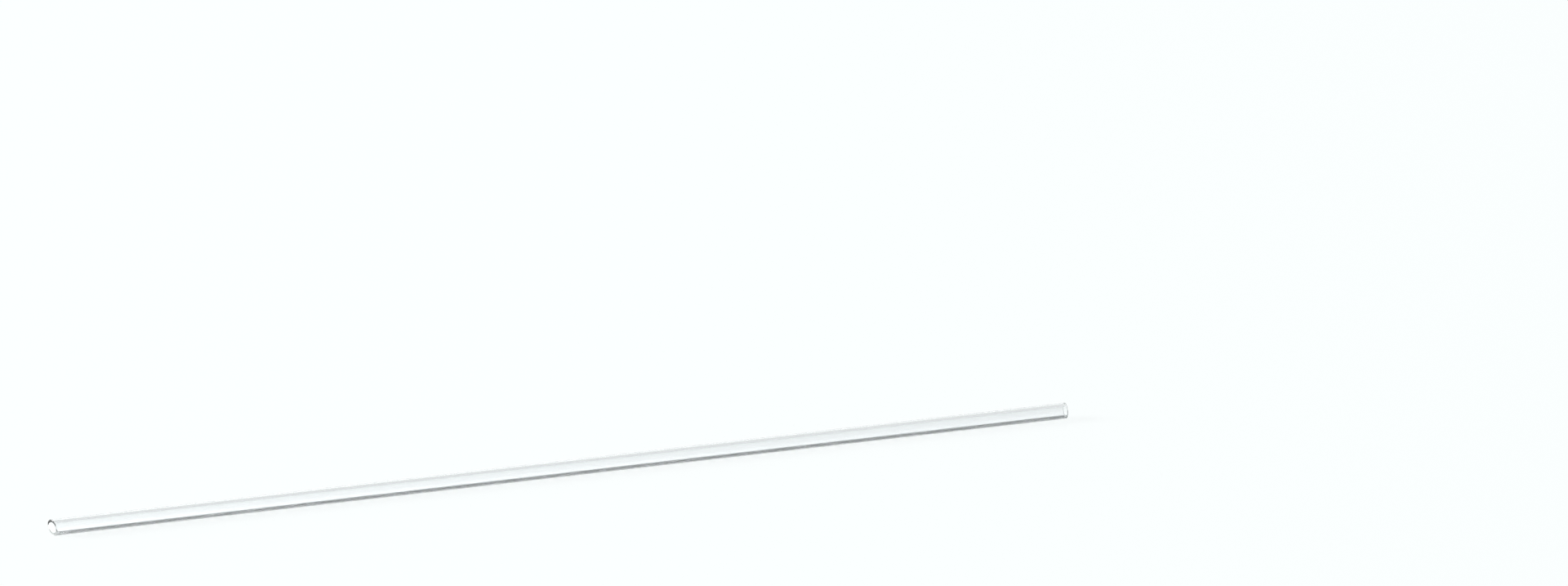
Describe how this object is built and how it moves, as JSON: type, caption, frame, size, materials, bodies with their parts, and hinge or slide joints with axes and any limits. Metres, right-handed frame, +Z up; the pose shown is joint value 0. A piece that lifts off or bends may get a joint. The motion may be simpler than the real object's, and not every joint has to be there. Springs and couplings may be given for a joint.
{
  "type": "glass capillary tube",
  "caption": "Thin-walled clear glass capillary tube, open at both ends, with flame-softened rims, one end snapped square and the other on a slant.",
  "frame": {"origin": "on the resting line, at the middle of the tube's length", "axes": "+X along the tube, from the slanted end to the square end; +Z up"},
  "size_m": [0.1, 0.0014, 0.0015],
  "materials": {
    "glass": "clear drawn glass, fire-polished rims"
  },
  "bodies": {
    "root": {"capillary_tube": "glass"}
  },
  "joints": []
}
